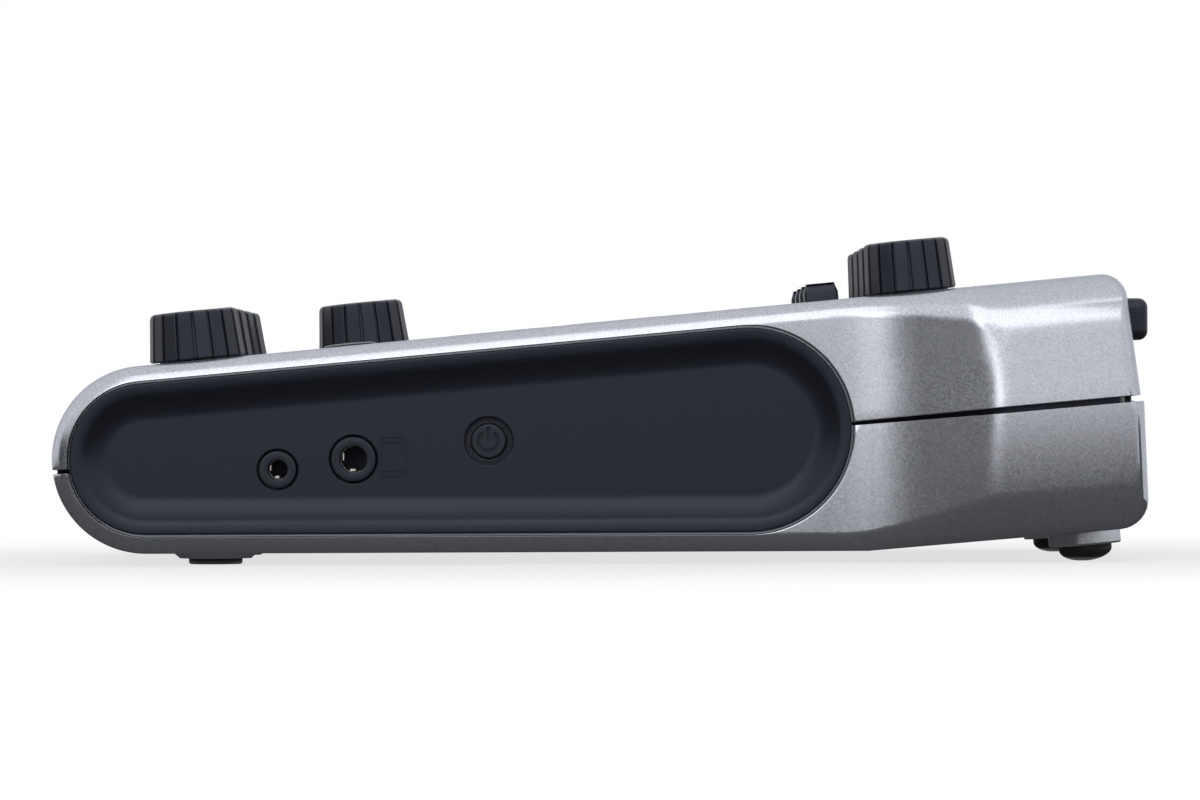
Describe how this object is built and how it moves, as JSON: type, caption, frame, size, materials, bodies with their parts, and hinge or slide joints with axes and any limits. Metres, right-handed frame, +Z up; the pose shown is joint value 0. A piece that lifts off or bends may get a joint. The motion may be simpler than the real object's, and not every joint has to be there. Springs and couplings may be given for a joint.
{
  "type": "podcast recorder",
  "caption": "Desk podcast recorder with a sloped control deck, ribbed level knobs, sound pads, a display, dished dark side panels and rear microphone sockets.",
  "frame": {"origin": "on the desk under the middle of the recorder's box", "axes": "+X to the user's right, +Y away from the user towards the microphone sockets, +Z up"},
  "size_m": [0.112, 0.1564, 0.0465],
  "materials": {
    "silver_paint": "fine metallic silver paint over moulded plastic, satin",
    "panel_plastic": "soft matt charcoal, slightly blue",
    "knob_plastic": "satin charcoal",
    "cap_plastic": "smooth black",
    "pad_rubber": "soft grey silicone",
    "foot_rubber": "matt black",
    "window_glass": "polished black acrylic",
    "display_metal": "pressed frame",
    "board_green": "green solder mask",
    "socket_plastic": "black moulded",
    "contact_nickel": "nickel plated",
    "cell_wrap": "printed sleeve, plain"
  },
  "bodies": {
    "case": {"upper_shell": "silver_paint", "lower_shell": "silver_paint", "side_panel_right": "panel_plastic", "side_panel_left": "panel_plastic", "microphone_socket_1": "socket_plastic", "microphone_socket_2": "socket_plastic", "microphone_socket_3": "socket_plastic", "microphone_socket_4": "socket_plastic", "main_board": "board_green", "volume_board": "board_green", "gain_board": "board_green", "display_window": "window_glass", "display_module": "display_metal", "adapter_jack": "socket_plastic", "phone_jack": "socket_plastic", "headphone_jack_1": "socket_plastic", "headphone_jack_2": "socket_plastic", "headphone_jack_3": "socket_plastic", "headphone_jack_4": "socket_plastic", "usb_socket": "contact_nickel", "card_slot": "socket_plastic", "battery_1": "cell_wrap", "battery_2": "cell_wrap", "battery_contact_left": "contact_nickel", "battery_contact_right": "contact_nickel", "front_foot_left": "foot_rubber", "front_foot_right": "foot_rubber", "rear_foot_left": "foot_rubber", "rear_foot_right": "foot_rubber"},
    "volume_knob_1": {"volume_knob_1": "knob_plastic"},
    "volume_knob_2": {"volume_knob_2": "knob_plastic"},
    "volume_knob_3": {"volume_knob_3": "knob_plastic"},
    "volume_knob_4": {"volume_knob_4": "knob_plastic"},
    "gain_knob_1": {"gain_knob_1": "knob_plastic"},
    "gain_knob_2": {"gain_knob_2": "knob_plastic"},
    "gain_knob_3": {"gain_knob_3": "knob_plastic"},
    "gain_knob_4": {"gain_knob_4": "knob_plastic"},
    "pad_level_knob": {"pad_level_knob": "knob_plastic"},
    "mute_button_1": {"mute_button_1": "cap_plastic"},
    "mute_button_2": {"mute_button_2": "cap_plastic"},
    "mute_button_3": {"mute_button_3": "cap_plastic"},
    "mute_button_4": {"mute_button_4": "cap_plastic"},
    "sound_pad_1": {"sound_pad_1": "pad_rubber"},
    "sound_pad_2": {"sound_pad_2": "pad_rubber"},
    "sound_pad_3": {"sound_pad_3": "pad_rubber"},
    "sound_pad_4": {"sound_pad_4": "pad_rubber"},
    "record_button": {"record_button": "cap_plastic"},
    "play_button": {"play_button": "cap_plastic"},
    "stop_button": {"stop_button": "cap_plastic"},
    "power_button": {"power_button": "cap_plastic"},
    "input_switch_1": {"input_switch_1": "cap_plastic"},
    "input_switch_2": {"input_switch_2": "cap_plastic"},
    "input_switch_3": {"input_switch_3": "cap_plastic"},
    "input_switch_4": {"input_switch_4": "cap_plastic"},
    "socket_latch_1": {"socket_latch_1": "socket_plastic"},
    "socket_latch_2": {"socket_latch_2": "socket_plastic"},
    "socket_latch_3": {"socket_latch_3": "socket_plastic"},
    "socket_latch_4": {"socket_latch_4": "socket_plastic"},
    "battery_door": {"battery_door": "silver_paint"}
  },
  "joints": [
    {"name": "volume_turn_1", "type": "hinge", "parent": "case", "child": "volume_knob_1", "pos_m": [-0.0387, -0.05776, 0.0292], "axis": [0, -0.0908, 0.9959], "range_deg": [-150, 150]},
    {"name": "volume_turn_2", "type": "hinge", "parent": "case", "child": "volume_knob_2", "pos_m": [-0.0129, -0.05776, 0.0292], "axis": [0, -0.0908, 0.9959], "range_deg": [-150, 150]},
    {"name": "volume_turn_3", "type": "hinge", "parent": "case", "child": "volume_knob_3", "pos_m": [0.0129, -0.05776, 0.0292], "axis": [0, -0.0908, 0.9959], "range_deg": [-150, 150]},
    {"name": "volume_turn_4", "type": "hinge", "parent": "case", "child": "volume_knob_4", "pos_m": [0.0387, -0.05776, 0.0292], "axis": [0, -0.0908, 0.9959], "range_deg": [-150, 150]},
    {"name": "gain_turn_1", "type": "hinge", "parent": "case", "child": "gain_knob_1", "pos_m": [-0.0387, 0.04442, 0.03852], "axis": [0, -0.0908, 0.9959], "range_deg": [-150, 150]},
    {"name": "gain_turn_2", "type": "hinge", "parent": "case", "child": "gain_knob_2", "pos_m": [-0.0129, 0.04442, 0.03852], "axis": [0, -0.0908, 0.9959], "range_deg": [-150, 150]},
    {"name": "gain_turn_3", "type": "hinge", "parent": "case", "child": "gain_knob_3", "pos_m": [0.0129, 0.04442, 0.03852], "axis": [0, -0.0908, 0.9959], "range_deg": [-150, 150]},
    {"name": "gain_turn_4", "type": "hinge", "parent": "case", "child": "gain_knob_4", "pos_m": [0.0387, 0.04442, 0.03852], "axis": [0, -0.0908, 0.9959], "range_deg": [-150, 150]},
    {"name": "pad_level_turn", "type": "hinge", "parent": "case", "child": "pad_level_knob", "pos_m": [-0.0387, -0.03605, 0.03118], "axis": [0, -0.0908, 0.9959], "range_deg": [-150, 150]},
    {"name": "mute_press_1", "type": "slide", "parent": "case", "child": "mute_button_1", "axis": [0, 0.0908, -0.9959], "range_m": [0, 0.0006], "stiffness_N_per_m": 600},
    {"name": "mute_press_2", "type": "slide", "parent": "case", "child": "mute_button_2", "axis": [0, 0.0908, -0.9959], "range_m": [0, 0.0006], "stiffness_N_per_m": 600},
    {"name": "mute_press_3", "type": "slide", "parent": "case", "child": "mute_button_3", "axis": [0, 0.0908, -0.9959], "range_m": [0, 0.0006], "stiffness_N_per_m": 600},
    {"name": "mute_press_4", "type": "slide", "parent": "case", "child": "mute_button_4", "axis": [0, 0.0908, -0.9959], "range_m": [0, 0.0006], "stiffness_N_per_m": 600},
    {"name": "pad_press_1", "type": "slide", "parent": "case", "child": "sound_pad_1", "axis": [0, 0.0908, -0.9959], "range_m": [0, 0.0006], "stiffness_N_per_m": 600},
    {"name": "pad_press_2", "type": "slide", "parent": "case", "child": "sound_pad_2", "axis": [0, 0.0908, -0.9959], "range_m": [0, 0.0006], "stiffness_N_per_m": 600},
    {"name": "pad_press_3", "type": "slide", "parent": "case", "child": "sound_pad_3", "axis": [0, 0.0908, -0.9959], "range_m": [0, 0.0006], "stiffness_N_per_m": 600},
    {"name": "pad_press_4", "type": "slide", "parent": "case", "child": "sound_pad_4", "axis": [0, 0.0908, -0.9959], "range_m": [0, 0.0006], "stiffness_N_per_m": 600},
    {"name": "record_press", "type": "slide", "parent": "case", "child": "record_button", "axis": [0, 0.0908, -0.9959], "range_m": [0, 0.0006], "stiffness_N_per_m": 600},
    {"name": "play_press", "type": "slide", "parent": "case", "child": "play_button", "axis": [0, 0.0908, -0.9959], "range_m": [0, 0.0006], "stiffness_N_per_m": 600},
    {"name": "stop_press", "type": "slide", "parent": "case", "child": "stop_button", "axis": [0, 0.0908, -0.9959], "range_m": [0, 0.0006], "stiffness_N_per_m": 600},
    {"name": "power_press", "type": "slide", "parent": "case", "child": "power_button", "axis": [-1, 0, 0], "range_m": [0, 0.0005], "stiffness_N_per_m": 600},
    {"name": "input_slide_1", "type": "slide", "parent": "case", "child": "input_switch_1", "axis": [1, 0, 0], "range_m": [0, 0.0022]},
    {"name": "input_slide_2", "type": "slide", "parent": "case", "child": "input_switch_2", "axis": [1, 0, 0], "range_m": [0, 0.0022]},
    {"name": "input_slide_3", "type": "slide", "parent": "case", "child": "input_switch_3", "axis": [1, 0, 0], "range_m": [0, 0.0022]},
    {"name": "input_slide_4", "type": "slide", "parent": "case", "child": "input_switch_4", "axis": [1, 0, 0], "range_m": [0, 0.0022]},
    {"name": "latch_press_1", "type": "slide", "parent": "case", "child": "socket_latch_1", "axis": [0, -1, 0], "range_m": [0, 0.0012], "stiffness_N_per_m": 600},
    {"name": "latch_press_2", "type": "slide", "parent": "case", "child": "socket_latch_2", "axis": [0, -1, 0], "range_m": [0, 0.0012], "stiffness_N_per_m": 600},
    {"name": "latch_press_3", "type": "slide", "parent": "case", "child": "socket_latch_3", "axis": [0, -1, 0], "range_m": [0, 0.0012], "stiffness_N_per_m": 600},
    {"name": "latch_press_4", "type": "slide", "parent": "case", "child": "socket_latch_4", "axis": [0, -1, 0], "range_m": [0, 0.0012], "stiffness_N_per_m": 600},
    {"name": "battery_door_swing", "type": "hinge", "parent": "case", "child": "battery_door", "pos_m": [0, 0.02465, 0.0017], "axis": [1, 0, 0], "range_deg": [0, 95]}
  ]
}
